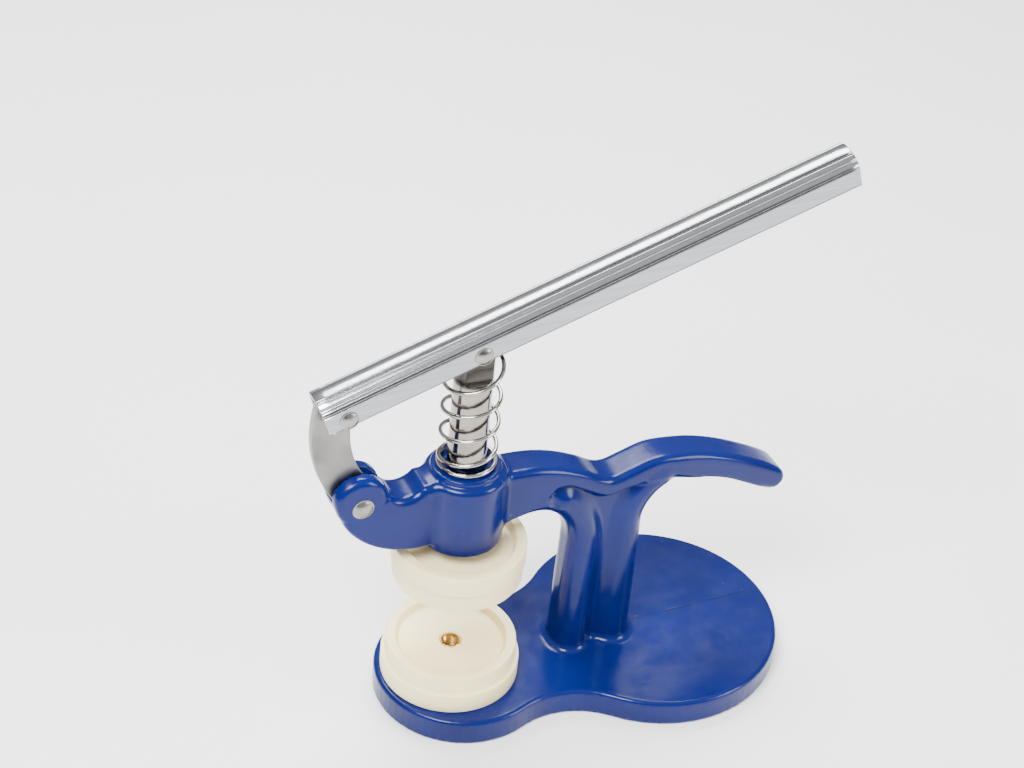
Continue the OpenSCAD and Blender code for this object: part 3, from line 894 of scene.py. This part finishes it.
def ram_field(x, y, z):
    """Round bar whose top is milled to a flat tongue with a domed end and a pin hole."""
    rise = np.maximum(z - TONGUE_DOME[1], 0)
    dome = np.sqrt(x * x + rise * rise) - TONGUE_DOME[2]
    tongue = np.maximum(np.abs(y) - TONGUE_W / 2, dome)
    body = join(z - RAM_PIN[2] + TONGUE_H, tongue, 2.2)
    body = meet(body, np.sqrt(x * x + y * y) - RAM_R, 0.3)
    body = meet(body, RAM_FOOT - z, 0.6)
    return cut(body, disc(x, z, (0, RAM_PIN[2], PIN_HOLE_R)), 0.3)


field_piece("ram_bar", ram_field, 0.55, RAM_PLATE, "plunger", "ram_plate", "ram")

# -------------------------------------------------------------------- spring
ALL_TURNS = OPEN_TURNS + 1
COIL_BASE = SEAT_Z + WIRE_R + 0.02
COIL_TOP = RAM_PIN[2] - (LEVER_DROP + WIRE_R + 0.05) / cos(LEVER_TILT)
# the last stretch of wire follows the lever; it starts where the coil faces +Y
TOP_START = 5.25 - COIL_PHASE
LEAN_START = 3.9


def coil_point(n):
    """Centre of the wire after n turns, up from the closed coil on the seat."""
    a = 2 * pi * (n + COIL_PHASE)
    lean = ease(part_way(n, LEAN_START, 1.0))
    low = COIL_BASE + 1.8 * WIRE_R * min(n, 1)
    high = COIL_TOP + COIL_R * cos(a) * tan(LEVER_TILT) * lean
    u = np.clip((n - 1) / OPEN_TURNS, 0, 1)
    return (COIL_R * cos(a), COIL_R * sin(a), low * (1 - u) + high * u)


def wire_piece(name, first, last):
    """The spring's wire between two counts of turns."""
    path = [coil_point(n) for n in np.arange(first, last + 1e-6, 1 / 56)]
    points, faces = tube(path, WIRE_R, 14)
    obj = sharpen(mesh_piece(name, points, faces, SPRING_WIRE), 70)
    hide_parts("return_spring")
    return obj


main_coils = wire_piece("spring_coils", 0.0, TOP_START)
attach(main_coils, "stand")
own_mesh(main_coils)
top_coil = wire_piece("spring_top_coil", TOP_START, ALL_TURNS)
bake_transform(top_coil)


# --------------------------------------------------------------------- studio
def make_floor():
    """Plain pale floor just under the base."""
    size, drop = 3.0, 0.0002
    mesh = bpy.data.meshes.new("floor")
    corners = [(x * size, y * size, -drop) for x, y in ((-1, -1), (1, -1), (1, 1), (-1, 1))]
    mesh.from_pydata(corners, [], [(0, 1, 2, 3)])
    mesh.materials.append(floor_paint())
    link_object("floor", mesh)


def area_light(name, place, aim, size, power):
    """Rectangular soft light at place, turned to aim."""
    light = bpy.data.lights.new(name, "AREA")
    light.shape = "RECTANGLE"
    light.size, light.size_y = size
    light.energy = power
    obj = link_object(name, light)
    obj.location = place
    obj.rotation_euler = (Vector(aim) - Vector(place)).to_track_quat("-Z", "Y").to_euler()


def make_sky():
    """Even studio surround, a little darker towards the horizon."""
    world = bpy.data.worlds.new("studio")
    world.use_nodes = True
    tree = world.node_tree
    back = tree.nodes["Background"]
    place = tree.nodes.new("ShaderNodeTexCoord")
    split = tree.nodes.new("ShaderNodeSeparateXYZ")
    ramp = tree.nodes.new("ShaderNodeMapRange")
    tree.links.new(place.outputs["Generated"], split.inputs[0])
    tree.links.new(split.outputs["Z"], ramp.inputs[0])
    heights, strengths = (0.0, 0.8), (0.14, 1.1)
    for socket, value in zip(list(ramp.inputs)[1:5], heights + strengths):
        socket.default_value = value
    tree.links.new(ramp.outputs[0], back.inputs["Strength"])
    back.inputs["Color"].default_value = WHITE
    bpy.context.scene.world = world


def make_camera():
    """Long lens looking down on the press from the front left, slightly rolled."""
    azimuth, elevation, roll = radians(-27.38), radians(35.96), radians(5.77)
    distance, target = 718.4 * MM, Vector((14.41, 0, 133.12)) * MM
    back = Vector((sin(azimuth) * cos(elevation), -cos(azimuth) * cos(elevation), sin(elevation)))
    right = Vector((cos(azimuth), sin(azimuth), 0))
    up = back.cross(right)
    across = cos(roll) * right + sin(roll) * up
    over = -sin(roll) * right + cos(roll) * up
    camera = bpy.data.cameras.new("camera")
    camera.lens, camera.sensor_width = 76.0, 36.0
    camera.clip_start, camera.clip_end = 0.05, 20
    obj = link_object("camera", camera)
    place = Matrix((across, over, back)).transposed().to_4x4()
    place.translation = target + back * distance
    obj.matrix_world = place
    bpy.context.scene.camera = obj


make_floor()
make_sky()
make_camera()
area_light("key", (-0.5, -0.35, 0.95), (0.03, 0, 0.06), (0.55, 0.4), 26)
area_light("fill", (0.75, -0.65, 0.5), (0.03, 0, 0.08), (0.35, 0.5), 9)
area_light("top", (0.15, 0.55, 1.0), (0.04, 0, 0.05), (0.8, 0.4), 22)
